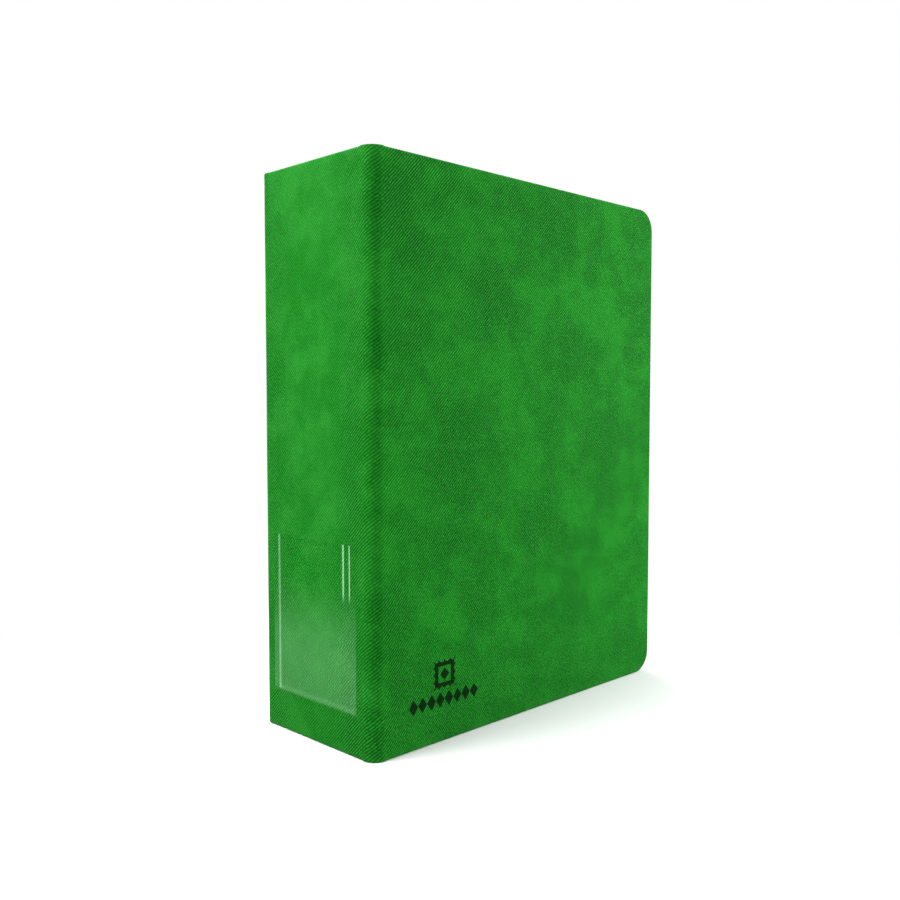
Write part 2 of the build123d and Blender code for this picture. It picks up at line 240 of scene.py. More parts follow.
def painted_film_reflection(graph, across, up):
    """Painted reflection on the nap under the label pocket: a pale haze low in the pocket
    that stands for the film's reflection of the table, and a painted highlight line under
    each weld bead. across runs round the case from the spine's middle, towards the back
    cover where it is negative, and up is height."""

    def line(place, middle, half_width):
        away = graph.math("ABSOLUTE", graph.math("SUBTRACT", place, middle))
        return graph.spread(away, half_width, 0.35 * half_width)

    def within(place, low, high, fade):
        rise = graph.spread(place, low - fade, low)
        return graph.product(rise, graph.spread(place, high + fade, high))

    front_edge = -pocket_low.y
    back_edge = -pocket_high.y
    foot = pocket_low.z + WELD
    mouth = pocket_high.z
    in_pocket = within(across, back_edge, front_edge, 0.3)
    above_foot = graph.spread(up, foot - 2.4, foot + 0.6)
    # Painted haze: the film's reflection of the table, pale low in the pocket
    painted_haze = graph.product(in_pocket, graph.spread(up, *PAINTED_HAZE_HEIGHTS), above_foot)
    near_mouth = within(up, mouth - PAINTED_THIN_GLINT_LENGTH, mouth, 8.0)
    near_mouth = graph.product(near_mouth, graph.spread(up, mouth + 0.3, mouth))
    # Painted highlights: lines where the weld beads catch the light
    thin = line(across, front_edge - WELD, 0.75)
    thin = graph.math("ADD", thin, line(across, front_edge - 2 * WELD, 1.0))
    wide = line(across, back_edge + WELD, 1.3)
    wide = graph.product(wide, within(up, foot, mouth, 0.5))
    low = line(up, foot + 0.6, 2.2)
    low = graph.product(low, within(across, back_edge + WELD, front_edge - 2.0, 1.5))
    thin = graph.product(thin, near_mouth)
    painted_glints = graph.math("MULTIPLY_ADD", thin, PAINTED_THIN_GLINTS, graph.product(wide, PAINTED_WIDE_GLINT))
    painted_glints = graph.math("MULTIPLY_ADD", low, PAINTED_LOW_GLINT, painted_glints)
    return graph.math("MULTIPLY_ADD", painted_haze, PAINTED_HAZE, painted_glints)


DEEP_GREEN = (0.0006, 0.190, 0.0036, 1)
RAISED_GREEN = (0.0135, 0.325, 0.0145, 1)        # nap brushed up, on the covers
RAISED_ON_SPINE = (0.032, 0.335, 0.034, 1)
STROKE_GREEN = (0.018, 0.40, 0.026, 1)
GROOVE_GREEN = (0.0005, 0.022, 0.002, 1)
RIDGE_GREEN = (0.026, 0.50, 0.034, 1)
SPECKLE_GREEN = (0.026, 0.33, 0.03, 1)
WORN_GREEN = (0.045, 0.33, 0.05, 1)
# Pale green of the painted reflection and highlights under the label pocket
PAINTED_REFLECTION_GREEN = (0.50, 0.95, 0.56, 1)


def cloth_material():
    """Green synthetic nubuck: soft cloudy nap over a fine diagonal rib."""
    graph = Graph("green_nubuck")
    rib, place = weave_nodes(graph)
    bend = graph.node("ShaderNodeAttribute", attribute_name="bend").outputs["Fac"]
    edge = graph.node("ShaderNodeAttribute", attribute_name="edge").outputs["Fac"]
    spot = graph.node("ShaderNodeSeparateXYZ", {0: place})
    across, up = spot.outputs[0], spot.outputs[1]
    round_case = graph.math("ABSOLUTE", across)
    off_spine = graph.spread(round_case, SPINE_FLAT - 6.0, COVER_START)

    # Nap: clouds and patches, calmer on the spine, with brushed strokes on the covers
    clouds = graph.noise(place, 0.022, detail=4.0, roughness=0.55)
    patches = graph.noise(place, 0.065, detail=5.0, roughness=0.62, distortion=0.4)
    grain = graph.noise(place, 2.6, detail=2.0)
    nap = graph.math("MULTIPLY_ADD", patches, 0.55, graph.math("MULTIPLY", clouds, 0.65))
    nap = graph.spread(nap, 0.48, 0.74)
    calm = graph.math("MULTIPLY_ADD", graph.math("SUBTRACT", nap, 0.5), 0.5, 0.44)
    nap = graph.spread(off_spine, 0.0, 1.0, calm, nap, smooth=False)
    raised = graph.blend(off_spine, RAISED_ON_SPINE, RAISED_GREEN)
    colour = graph.blend(nap, DEEP_GREEN, raised)
    strokes = graph.scaled(place, (0.022, 0.16, 1.0))
    strokes = graph.noise(strokes, 1.0, detail=4.0, distortion=0.8)
    strokes = graph.product(graph.spread(strokes, 0.54, 0.72, 0.0, 0.32), off_spine)
    colour = graph.blend(strokes, colour, STROKE_GREEN)

    # Rib: faint in the spine's middle, and plain where the nap is thin or pressed down
    groove = graph.blend(0.85, colour, GROOVE_GREEN)
    ridge = graph.blend(0.45, colour, RIDGE_GREEN)
    strength = graph.product(
        graph.spread(round_case, 12.0, SPINE_FLAT, 0.42, 0.82),
        graph.math("MULTIPLY_ADD", bend, -0.22, 1.0),
        graph.spread(clouds, 0.35, 0.65, 1.15, 0.85),
        graph.spread(up, 60.0, 15.0, 1.0, 1.35),
    )
    colour = graph.blend(strength, colour, graph.blend(rib, groove, ridge))

    # Speckle of single fibres, wear along the edges, and the painted reflection and highlights under the
    # pocket
    speckle = graph.spread(grain, 0.35, 0.75, 0.0, 0.3)
    colour = graph.blend(speckle, colour, graph.blend(0.5, colour, SPECKLE_GREEN))
    wear = graph.product(edge, graph.spread(patches, 0.42, 0.6, 0.1, 0.4))
    colour = graph.blend(wear, colour, WORN_GREEN)
    # Painted reflection: the pocket film's haze and weld highlights, painted into the nap
    colour = graph.blend(painted_film_reflection(graph, across, up), colour, PAINTED_REFLECTION_GREEN)
    height = graph.math("MULTIPLY_ADD", grain, 0.3, rib)
    shader = graph.node(
        "ShaderNodeBsdfPrincipled",
        {
            "Base Color": colour,
            "Roughness": graph.spread(rib, 0, 1, 0.92, 0.74),
            "Specular IOR Level": 0.08,
            "Sheen Weight": 0.04,
            "Sheen Roughness": 0.45,
            "Sheen Tint": (0.3, 0.9, 0.3, 1),
            "Normal": graph.bump(height, 0.16 * MM, 0.9),
        },
    )
    return graph.finish(shader)


def lining_material():
    """Black microfibre: short dense nap with faint brushed streaks."""
    graph = Graph("black_microfibre")
    place = graph.node("ShaderNodeUVMap", uv_map="place").outputs[0]
    nap = graph.noise(place, 0.05, detail=4.0)
    fibre = graph.noise(graph.scaled(place, (1.0, 0.35, 1.0)), 5.0, detail=3.0)
    tone = graph.math("MULTIPLY_ADD", fibre, 0.4, graph.math("MULTIPLY", nap, 0.6))
    colour = graph.blend(
        graph.spread(tone, 0.35, 0.68), (0.006, 0.006, 0.007, 1), (0.028, 0.028, 0.031, 1)
    )
    shader = graph.node(
        "ShaderNodeBsdfPrincipled",
        {
            "Base Color": colour,
            "Roughness": 0.95,
            "Specular IOR Level": 0.15,
            "Sheen Weight": 0.35,
            "Sheen Roughness": 0.5,
            "Normal": graph.bump(fibre, 0.12 * MM, 0.7),
        },
    )
    return graph.finish(shader)


def film_material(name, tint):
    """Clear plastic film: see-through from in front, and shiny when seen at a slant."""
    graph = Graph(name)
    spot = graph.position()
    ripple = graph.noise(spot, 0.05, detail=1.0)
    scuff = graph.noise(graph.scaled(spot, (0.3, 1.0, 0.06)), 1.4, detail=4.0, roughness=0.7)
    normal = graph.bump(ripple, 0.4 * MM, 0.3)
    polish = graph.spread(scuff, 0.3, 0.8, 0.10, 0.24)
    gloss = graph.node("ShaderNodeBsdfGlossy", {"Roughness": polish, "Normal": normal})
    clear = graph.node("ShaderNodeBsdfTransparent", {"Color": tint})
    fresnel = graph.node("ShaderNodeFresnel", {"IOR": 1.45, "Normal": normal}).outputs[0]
    slant = graph.spread(fresnel, 0.08, 0.45, 0.0, 0.3, smooth=False)
    # Only faces turned to the viewer reflect, so the film's far side adds no mirror image.
    away = graph.node("ShaderNodeNewGeometry").outputs["Backfacing"]
    shine = graph.math("MULTIPLY", slant, graph.math("SUBTRACT", 1.0, away))
    shader = graph.node("ShaderNodeMixShader", {0: shine})
    graph.tree.links.new(clear.outputs[0], shader.inputs[1])
    graph.tree.links.new(gloss.outputs[0], shader.inputs[2])
    return graph.finish(shader)


def nickel_material():
    """Bright nickel plate with faint drawing lines and handling marks."""
    graph = Graph("bright_nickel")
    spot = graph.position()
    drawn = graph.noise(graph.scaled(spot, (1.0, 1.0, 0.04)), 4.0, detail=3.0)
    smudge = graph.noise(spot, 0.12, detail=4.0)
    colour = graph.blend(
        graph.spread(smudge, 0.3, 0.7), (0.66, 0.65, 0.62, 1), (0.80, 0.79, 0.76, 1)
    )
    roughness = graph.math("MULTIPLY_ADD", drawn, 0.14, graph.math("MULTIPLY", smudge, 0.2))
    shader = graph.node(
        "ShaderNodeBsdfPrincipled",
        {
            "Base Color": colour,
            "Metallic": 1.0,
            "Roughness": roughness,
            "Normal": graph.bump(drawn, 0.01 * MM, 0.5),
        },
    )
    return graph.finish(shader)


def card_material():
    """Matt black card with a felt-marked surface."""
    graph = Graph("black_card")
    spot = graph.position()
    felt = graph.noise(spot, 1.8, detail=4.0, roughness=0.65)
    tone = graph.noise(spot, 0.03, detail=3.0)
    tone = graph.math("MULTIPLY_ADD", felt, 0.5, graph.math("MULTIPLY", tone, 0.5))
    colour = graph.blend(
        graph.spread(tone, 0.3, 0.7), (0.008, 0.008, 0.009, 1), (0.022, 0.022, 0.024, 1)
    )
    shader = graph.node(
        "ShaderNodeBsdfPrincipled",
        {
            "Base Color": colour,
            "Roughness": graph.spread(felt, 0.3, 0.7, 0.62, 0.85),
            "Specular IOR Level": 0.3,
            "Normal": graph.bump(felt, 0.05 * MM, 0.6),
        },
    )
    return graph.finish(shader)


def mark_material():
    """Dark stamped print that lets the ribs show through."""
    graph = Graph("stamped_print")
    rib, place = weave_nodes(graph)
    wear = graph.noise(place, 0.8, detail=3.0)
    tone = graph.math("MULTIPLY", rib, graph.spread(wear, 0.35, 0.7, 0.35, 0.9))
    colour = graph.blend(tone, (0.0002, 0.014, 0.0006, 1), (0.0012, 0.050, 0.003, 1))
    inputs = {
        "Base Color": colour,
        "Roughness": 0.8,
        "Specular IOR Level": 0.06,
        "Normal": graph.bump(rib, 0.1 * MM, 0.8),
    }
    return graph.finish(graph.node("ShaderNodeBsdfPrincipled", inputs))


FLOOR_FADE = (160.0, 400.0)          # from the album's middle, where the table turns white
FLOOR_REACH = 600.0
FLOOR_DROP = 0.05                    # keeps the table clear of the album's foot
FLOOR_AS_LIGHT = (0.38, 0.38, 0.38, 1)


def floor_material():
    """Plain white table that fades into the white backdrop away from the album. It lights
    the album from below as a grey one would."""
    graph = Graph("white_sweep")
    spot = graph.position()
    tone = graph.noise(spot, 0.01)
    colour = graph.blend(tone, (0.88, 0.88, 0.88, 1), (0.93, 0.93, 0.93, 1))
    seen = graph.node("ShaderNodeLightPath").outputs["Is Camera Ray"]
    colour = graph.blend(seen, FLOOR_AS_LIGHT, colour)
    table = graph.node("ShaderNodeBsdfPrincipled", {"Base Color": colour, "Roughness": 0.7})
    glow = graph.node("ShaderNodeEmission", {"Color": (1, 1, 1, 1), "Strength": 1.0})
    away = graph.node("ShaderNodeVectorMath", {0: spot}, operation="LENGTH").outputs["Value"]
    fade = graph.math("MULTIPLY", seen, graph.spread(away, *FLOOR_FADE))
    shader = graph.node("ShaderNodeMixShader", {0: fade})
    graph.tree.links.new(table.outputs[0], shader.inputs[1])
    graph.tree.links.new(glow.outputs[0], shader.inputs[2])
    return graph.finish(shader)


CLOTH = cloth_material()
LINING_CLOTH = lining_material()
POCKET_FILM = film_material("pocket_film", tint=(1.0, 1.0, 1.0, 1))
STRIP_FILM = film_material("strip_film", tint=(0.95, 0.97, 1.0, 1))
NICKEL = nickel_material()
CARD = card_material()
MARK = mark_material()

# ---- Meshes -------------------------------------------------------------------------


def smoothstep(t):
    t = min(max(t, 0.0), 1.0)
    return t * t * (3 - 2 * t)


def steps(start, end, count):
    """count + 1 evenly spaced values from start to end."""
    return [start + (end - start) * i / count for i in range(count + 1)]


class Piece:
    """Collects vertices and faces in millimetres, with a weave map, a place map and
    per-vertex attributes, and turns them into one Blender object."""

    def __init__(self, name, material):
        self.name = name
        self.material = material
        self.points = []
        self.faces = []
        self.maps = []
        self.sharp = set()
        self.attributes = {}

    def point(self, place, **attributes):
        self.points.append(tuple(place))
        for key, value in attributes.items():
            self.attributes.setdefault(key, {})[len(self.points) - 1] = value
        return len(self.points) - 1

    def face(self, corners, maps=None):
        self.faces.append(tuple(corners))
        self.maps.append(maps)

    def flip(self):
        self.faces = [face[::-1] for face in self.faces]
        self.maps = [maps and maps[::-1] for maps in self.maps]

    def build(self, weave=lambda u, v: (u, v)):
        mesh = bpy.data.meshes.new(self.name)
        mesh.from_pydata([Vector(p) * MM for p in self.points], [], self.faces)
        mesh.polygons.foreach_set("use_smooth", [True] * len(mesh.polygons))
        if any(self.maps):
            place_map = mesh.uv_layers.new(name="place")
            weave_map = mesh.uv_layers.new(name="weave")
            index = 0
            for maps in self.maps:
                for u, v in maps:
                    place_map.data[index].uv = (u, v)
                    weave_map.data[index].uv = weave(u, v)
                    index += 1
        for key, values in self.attributes.items():
            layer = mesh.attributes.new(key, "FLOAT", "POINT")
            for vertex, value in values.items():
                layer.data[vertex].value = value
        if self.sharp:
            for edge in mesh.edges:
                if tuple(sorted(edge.vertices)) in self.sharp:
                    edge.use_edge_sharp = True
        mesh.materials.append(self.material)
        mesh.update()
        mesh.validate()
        piece = bpy.data.objects.new(self.name, mesh)
        bpy.context.scene.collection.objects.link(piece)
        return piece


# ---- Case ---------------------------------------------------------------------------

STRETCH = 0.31           # how far the ribs are drawn out sideways at the bend's middle
STRETCH_REACH = 7.5      # from there to where little of it is left


def weave_map(u, v):
    """The ribs' own map: the cloth is stretched sideways as it goes round each bend."""
    distance = abs(u)
    drawn = STRETCH * STRETCH_REACH * math.sqrt(math.pi) / 2
    past = math.erf((distance - BEND_MIDDLE) / STRETCH_REACH)
    drawn *= past + math.erf(BEND_MIDDLE / STRETCH_REACH)
    return math.copysign(distance - drawn, u), v


def bend_closeness(distance):
    """1 at a bend's middle, falling to 0 away from it."""
    return math.exp(-(((distance - BEND_MIDDLE) / STRETCH_REACH) ** 2))


def case_place(side, distance, z, depth):
    """A point of the case: side is -1 in front and 1 behind, distance is measured round
    the outside from the spine's middle, and depth inward from the outer face."""
    turn = (distance - SPINE_FLAT) / BEND_R
    if distance <= SPINE_FLAT:
        x, y = SPINE_X + depth, distance
    elif distance < COVER_START:
        radius = BEND_R - depth
        x = SPINE_X + BEND_R - radius * math.cos(turn)
        y = SPINE_FLAT + radius * math.sin(turn)
    else:
        x = SPINE_X + BEND_R + distance - COVER_START
        y = HALF_DEPTH - depth
    return x, side * y, z


FINE_REACH = 5.0         # how far the bend's fine columns run on over the flat parts


def case_columns():
    """Columns of the case, as (distance, corner angle); the angle is only used round the
    fore-edge corners."""
    bend_start = SPINE_FLAT - FINE_REACH
    bend_end = COVER_START + FINE_REACH
    flat = steps(0, bend_start, 9)[:-1]
    bend = steps(bend_start, bend_end, 44)[:-1]
    cover = steps(bend_end, CORNER_START, 36)
    corner = steps(0, math.pi / 2, 10)[1:]
    return [(d, 0.0) for d in flat + bend + cover] + [(CORNER_START, a) for a in corner]


def outline(column, inset):
    """Where a column meets the outline: distance, lowest z, outward direction below."""
    distance, angle = column
    radius = CORNER_R - inset
    if angle == 0.0:
        return distance, inset, (0.0, -1.0)
    reach = radius * math.sin(angle)
    low = CORNER_R - radius * math.cos(angle)
    return CORNER_START + reach, low, (math.sin(angle), -math.cos(angle))


BOARD_CLEARANCE = 1.0    # from the end of a bend to the board beside it


def wrap_depth(distance):
    """Depth of the wrapped case's inner face: thick over a board, thin between boards."""
    away = abs(distance - BEND_MIDDLE) - (BEND_LENGTH / 2 + BOARD_CLEARANCE)
    return GAP_WRAP + (WRAP - GAP_WRAP) * smoothstep((away + 0.6) / 1.6)


def surface_wave(distance, z):
    """Shallow unevenness of board and cloth, in millimetres."""
    return 0.05 * (
        math.sin(distance / 31.0 + 1.3) * math.sin(z / 47.0)
        + 0.6 * math.sin(distance / 13.0 + z / 19.0)
        + 0.5 * math.sin(z / 11.0 - distance / 23.0 + 0.7)
    )


WAVE_INSET = 0.06        # keeps the uneven face behind its true plane
RIM_WEAR = 0.35          # how worn the outline of a face is, where its rim is fully worn


def slab(piece, side, outer, inner, inset, edge, rows=64, rim=5):
    """Half of a wrapped slab, from the spine's middle to the fore-edge, with its edges
    rounded by the radius edge. outer and inner give the depths of its two faces at a
    distance, and inset is how far its outline lies inside the case's."""
    columns = case_columns()
    last = len(columns) - 1

    def radius_at(column):
        thick = inner(column[0]) - outer(column[0])
        return min(edge, 0.48 * thick)

    def make(column, share, extra, depth, edge_value):
        distance, low, _ = outline(column, inset + extra)
        z = low + (HEIGHT - 2 * low) * share
        values = {"bend": bend_closeness(distance), "edge": edge_value}
        place = case_place(side, distance, z, depth)
        return piece.point(place, **values), (side * -distance, z)

    def grid(depth_of, wavy):
        layout = []
        for column in columns:
            radius = radius_at(column)
            line = []
            for row in range(rows + 1):
                share = row / rows
                depth = depth_of(column[0])
                border = row in (0, rows) or column is columns[-1]
                if wavy and not border:
                    depth += surface_wave(column[0] * -side, share * HEIGHT) + WAVE_INSET
                line.append(make(column, share, radius, depth, RIM_WEAR if border else 0.0))
            layout.append(line)
        return layout

    top_face = grid(outer, wavy=outer(0.0) == 0.0)
    under_face = grid(inner, wavy=False)

    # The boundary runs along the bottom, up the fore-edge and back along the top.
    boundary = [(i, 0) for i in range(last)] + [(last, j) for j in range(rows + 1)]
    boundary += [(i, rows) for i in reversed(range(last))]

    def outward(i, j):
        _, _, (du, dv) = outline(columns[i], 0.0)
        if i == last and 0 < j < rows:
            return 1.0, 0.0
        return (du, dv) if j == 0 else (du, -dv)

    def rim_loop(extra_of, depth_of, walked_of):
        loop = []
        for i, j in boundary:
            column = columns[i]
            radius = radius_at(column)
            depth = depth_of(column[0], radius)
            vertex, _ = make(column, j / rows, extra_of(radius), depth, 1.0)
            base_u, base_v = top_face[i][j][1]
            du, dv = outward(i, j)
            walked = walked_of(radius)
            loop.append((vertex, (base_u - side * du * walked, base_v + dv * walked)))
        return loop

    loops = [[top_face[i][j] for i, j in boundary]]
    for k in range(1, rim + 1):
        a = math.pi / 2 * k / rim
        loops.append(
            rim_loop(
                lambda r, a=a: r - r * math.sin(a),
                lambda d, r, a=a: outer(d) + r - r * math.cos(a),
                lambda r, a=a: r * a,
            )
        )
    for k in range(rim):
        a = math.pi / 2 * k / rim
        loops.append(
            rim_loop(
                lambda r, a=a: r - r * math.cos(a),
                lambda d, r, a=a: inner(d) - r + r * math.sin(a),
                lambda r, a=a: r * (a + math.pi),
            )
        )
    closing = rim_loop(lambda r: r, lambda d, r: inner(d), lambda r: r * math.pi * 1.5)
    # The last loop borrows the under face's vertices and keeps its own map places.
    for at, (i, j) in enumerate(boundary):
        closing[at] = (under_face[i][j][0], closing[at][1])
    del piece.points[-len(boundary):]
    for values in piece.attributes.values():
        for gone in range(len(piece.points), len(piece.points) + len(boundary)):
            values.pop(gone, None)
    loops.append(closing)

    def quad(a, b, c, d):
        piece.face([p[0] for p in (a, b, c, d)], [p[1] for p in (a, b, c, d)])

    for i in range(last):
        for j in range(rows):
            one, two = top_face[i], top_face[i + 1]
            quad(one[j], two[j], two[j + 1], one[j + 1])
            one, two = under_face[i], under_face[i + 1]
            quad(one[j], one[j + 1], two[j + 1], two[j])
    for one, two in zip(loops, loops[1:]):
        for at in range(len(boundary) - 1):
            quad(one[at], two[at], two[at + 1], one[at + 1])

    # Flat end at the spine's middle, where the other half carries on
    for j in range(rows):
        quad(top_face[0][j], top_face[0][j + 1], under_face[0][j + 1], under_face[0][j])
    low_end = [loop[0] for loop in loops]
    high_end = [loop[-1] for loop in loops]
    piece.face([p[0] for p in low_end], [p[1] for p in low_end])
    piece.face([p[0] for p in reversed(high_end)], [p[1] for p in reversed(high_end)])
    ring = [p[0] for p in high_end] + [line[0] for line in reversed(under_face[0][1:-1])]
    ring += [p[0] for p in reversed(low_end)] + [line[0] for line in top_face[0][1:-1]]
    for one, two in zip(ring, ring[1:] + ring[:1]):
        piece.sharp.add(tuple(sorted((one, two))))
    if side > 0:
        piece.flip()


BLEND_REACH = 7.0        # from a virtual spine corner to where its blend starts and ends


def hang_on_hinge(piece, side, cover):
    """Bend a half case between the spine and one cover."""
    corner_y = side * HALF_DEPTH
    start = Vector((SPINE_X, corner_y - side * BLEND_REACH, 0)) * MM
    end = Vector((SPINE_X + BLEND_REACH, corner_y, 0)) * MM
    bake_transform(piece, "spine", cover, start=start, end=end)


CASE_EDGE = 1.3          # rounding of the wrapped boards' edges
LINING_EDGE = 0.2
LINING_CLEARANCE = 0.01


def case_half(side, word):
    """Cloth and board of one cover and half the spine, as one wrapped shell."""
    piece = Piece(f"case_{word}", CLOTH)
    slab(piece, side, lambda d: 0.0, wrap_depth, 0.0, CASE_EDGE)
    built = piece.build(weave_map)
    hang_on_hinge(built, side, f"{word}_cover")
    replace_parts(built, f"{word}_cover_skin", f"{word}_cover_board")
    return built


def lining_half(side, word):
    """Lining of one cover and half the spine, carried through the bend."""
    piece = Piece(f"lining_{word}", LINING_CLOTH)

    def outer(distance):
        return wrap_depth(distance) + LINING_CLEARANCE

    def inner(distance):
        return wrap_depth(distance) + LINING

    slab(piece, side, outer, inner, LINING_MARGIN, LINING_EDGE, rim=3)
    built = piece.build()
    hang_on_hinge(built, side, f"{word}_cover")
    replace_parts(built, f"{word}_cover_lining")
    return built


case_half(-1, "front")
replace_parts(case_half(1, "back"), "spine_skin", "spine_board")
lining_half(-1, "front")
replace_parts(lining_half(1, "back"), "spine_lining")

# ---- Label pocket -------------------------------------------------------------------

FILM = 0.22              # thickness
POCKET_FLAT = 0.28       # height of the film's welded border above the spine
POCKET_LOWEST = 0.02     # how near the film's inner face comes to the spine
POCKET_RAISE = 0.8       # height of the raised field
SWELL = 0.12             # how far the field's middle stands higher still, at the mouth
SIDE_BEAD = 0.45         # height of the ridges along the side welds
FOOT_BEAD = 0.25         # and of the one along the foot


def ridge(distance, width):
    """Rounded ridge of unit height and the given width, centred on distance 0."""
    share = distance / (width / 2)
    return math.sqrt(max(0.0, 1 - share * share)) if abs(share) < 1 else 0.0


def pocket_height(across, up):
    """Height of the film above the spine. across runs from the film's front-cover edge
    to its back-cover edge, up runs from its bottom edge."""
    width = pocket_high.y - pocket_low.y
    from_back = width - across
    inside = min(smoothstep((across - WELD) / 1.6), smoothstep((from_back - WELD) / 2.2))
    inside = min(inside, smoothstep((up - WELD) / 1.8))
    height = POCKET_FLAT + (POCKET_RAISE - POCKET_FLAT) * inside
    side_reach = smoothstep((up - WELD + 1.0) / 1.5)
    thin = max(ridge(across - WELD, 0.9), ridge(across - WELD - SECOND_WELD, 0.9))
    side = max(thin, ridge(from_back - WELD, 1.5)) * side_reach
    foot = ridge(up - WELD - 0.5, 1.8) * smoothstep(across - WELD)
    foot *= smoothstep(from_back - WELD)
    bead = max(SIDE_BEAD * side, FOOT_BEAD * foot)
    swell = SWELL * math.sin(math.pi * across / width) * smoothstep(up / 40.0)
    return height + bead + swell * inside


def label_pocket():
    """The welded film, as a thin closed sheet with its beads and its open mouth."""
    piece = Piece("label_pocket_film", POCKET_FILM)
    width = pocket_high.y - pocket_low.y
    tall = pocket_high.z - pocket_low.z
    # Fine steps over the welds, coarse ones between them
    before = WELD - 1.5
    front_end = WELD + SECOND_WELD + 1.5
    back_start = width - WELD - 4.0
    foot_end = WELD + 3.0
    across = steps(0.0, before, 6)[:-1] + steps(before, front_end, 64)
    across += steps(front_end, back_start, 30)[1:-1] + steps(back_start, width - before, 44)
    across += steps(width - before, width, 6)[1:]
    up = steps(0.0, before, 6)[:-1] + steps(before, foot_end, 24)[:-1]
    up += steps(foot_end, tall, 60)

    def sheet(lift):
        lines = []
        for a in across:
            line = []
            for b in up:
                height = max(pocket_height(a, b) - lift, POCKET_LOWEST)
                place = (SPINE_X - height, pocket_low.y + a, pocket_low.z + b)
                line.append(piece.point(place))
            lines.append(line)
        return lines

    over, under = sheet(0.0), sheet(FILM)
    for i in range(len(across) - 1):
        for j in range(len(up) - 1):
            piece.face((over[i][j], over[i][j + 1], over[i + 1][j + 1], over[i + 1][j]))
            piece.face((under[i][j], under[i + 1][j], under[i + 1][j + 1], under[i][j + 1]))
    border = [(i, 0) for i in range(len(across))]
    border += [(len(across) - 1, j) for j in range(1, len(up))]
    border += [(i, len(up) - 1) for i in reversed(range(len(across) - 1))]
    border += [(0, j) for j in reversed(range(1, len(up) - 1))]
    for (i, j), (k, l) in zip(border, border[1:] + border[:1]):
        piece.face((over[i][j], over[k][l], under[k][l], under[i][j]))
        piece.sharp.add(tuple(sorted((over[i][j], over[k][l]))))
    built = piece.build()
    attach(built, "spine")
    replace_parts(built, "label_pocket")


label_pocket()

# ---- Mark on the front cover --------------------------------------------------------

MARK_CENTRE = (52.0, 38.0)       # from the spine's outer face, above the bottom edge
MARK_SIZE = (17.6, 16.6)
BAND_CENTRE = (52.0, 23.8)
BAND_SIZE = (54.0, 8.4)
BAND_COUNT = 8
TEETH = 4                        # perforations along each side of the mark
BITE = 1.5                       # their depth
WINDOW = 0.56                    # the mark's opening, as a share of its size
LOZENGE = 3.4                    # half the lozenge in the mark
LOZENGE_SHARE = 0.48             # half a band lozenge's width, as a share of the pitch
PRINT_THICK = 0.05
PRINT_SUNK = 0.05                # how far the print reaches into the cloth


def print_shape(piece, loop, hole=None):
    """A thin raised patch from a closed loop of (x, z) points, with an optional hole loop
    of the same length."""

    def ring(points, depth):
        made = []
        for x, z in points:
            spot = piece.point((SPINE_X + x, FRONT_Y - depth, z))
            made.append((spot, (COVER_START - BEND_R + x, z)))
        return made

    def quad(*corners):
        piece.face([c[0] for c in corners], [c[1] for c in corners])

    top, low = ring(loop, PRINT_THICK), ring(loop, -PRINT_SUNK)
    count = len(loop)
    if hole:
        hole_top, hole_low = ring(hole, PRINT_THICK), ring(hole, -PRINT_SUNK)
    for i in range(count):
        k = (i + 1) % count
        quad(low[i], low[k], top[k], top[i])
        if hole:
            quad(top[i], top[k], hole_top[k], hole_top[i])
            quad(hole_low[i], hole_low[k], low[k], low[i])
            quad(hole_top[i], hole_top[k], hole_low[k], hole_low[i])
    if not hole:
        piece.face([c[0] for c in top], [c[1] for c in top])
        piece.face([c[0] for c in reversed(low)], [c[1] for c in reversed(low)])


def perforated_loop(width, height, bite):
    """Postage-stamp outline: a rectangle whose edges are scalloped."""
    loop = []
    sides = (
        ((-1, -1), (1, 0), width),
        ((1, -1), (0, 1), height),
        ((1, 1), (-1, 0), width),
        ((-1, 1), (0, -1), height),
    )
    count = TEETH * 8
    for (cx, cz), (dx, dz), length in sides:
        for k in range(count):
            share = k / count
            dip = bite * math.sqrt(abs(math.sin(math.pi * share * TEETH)))
            x = cx * width / 2 + dx * length * share - dz * dip
            z = cz * height / 2 + dz * length * share + dx * dip
            loop.append((x, z))
    return loop


def moved(loop, centre):
    return [(x + centre[0], z + centre[1]) for x, z in loop]


def cover_mark():
    """A generic stamp outline with a lozenge in it, over a row of plain lozenges."""
    piece = Piece("cover_mark", MARK)
    wide, tall = MARK_SIZE
    outer = perforated_loop(wide, tall, BITE)
    window = perforated_loop(wide * WINDOW, tall * WINDOW, 0.0)
    print_shape(piece, moved(outer, MARK_CENTRE), moved(window, MARK_CENTRE))
    lozenge = [(0, -1), (1, 0), (0, 1), (-1, 0)]
    print_shape(piece, moved([(x * LOZENGE, z * LOZENGE) for x, z in lozenge], MARK_CENTRE))
    pitch = BAND_SIZE[0] / BAND_COUNT
    for k in range(BAND_COUNT):
        centre = (BAND_CENTRE[0] + (k - (BAND_COUNT - 1) / 2) * pitch, BAND_CENTRE[1])
        shape = [(x * pitch * LOZENGE_SHARE, z * BAND_SIZE[1] / 2) for x, z in lozenge]
        print_shape(piece, moved(shape, centre))
    built = piece.build(weave_map)
    for polygon in built.data.polygons:
        polygon.use_smooth = False
    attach(built, "front_cover")


cover_mark()

# ---- Leaves -------------------------------------------------------------------------

leaf_joints = [joint for joint in frame["joints"] if joint["name"].startswith("leaf_")]
LEAF = 0.56              # thickness, just inside the CAD sheet's
FOLD_HALF = 0.3          # half the width of the scored fold
STRIP_ROWS = 5
STRIP_HEIGHT = 46.0
STRIP_PITCH = 54.0
STRIP = 0.16             # thickness
STRIP_FOOT = 0.32        # from a leaf's middle to a strip's inner face, at its weld
STRIP_GAPE = 0.1         # how much further off it is at its mouth


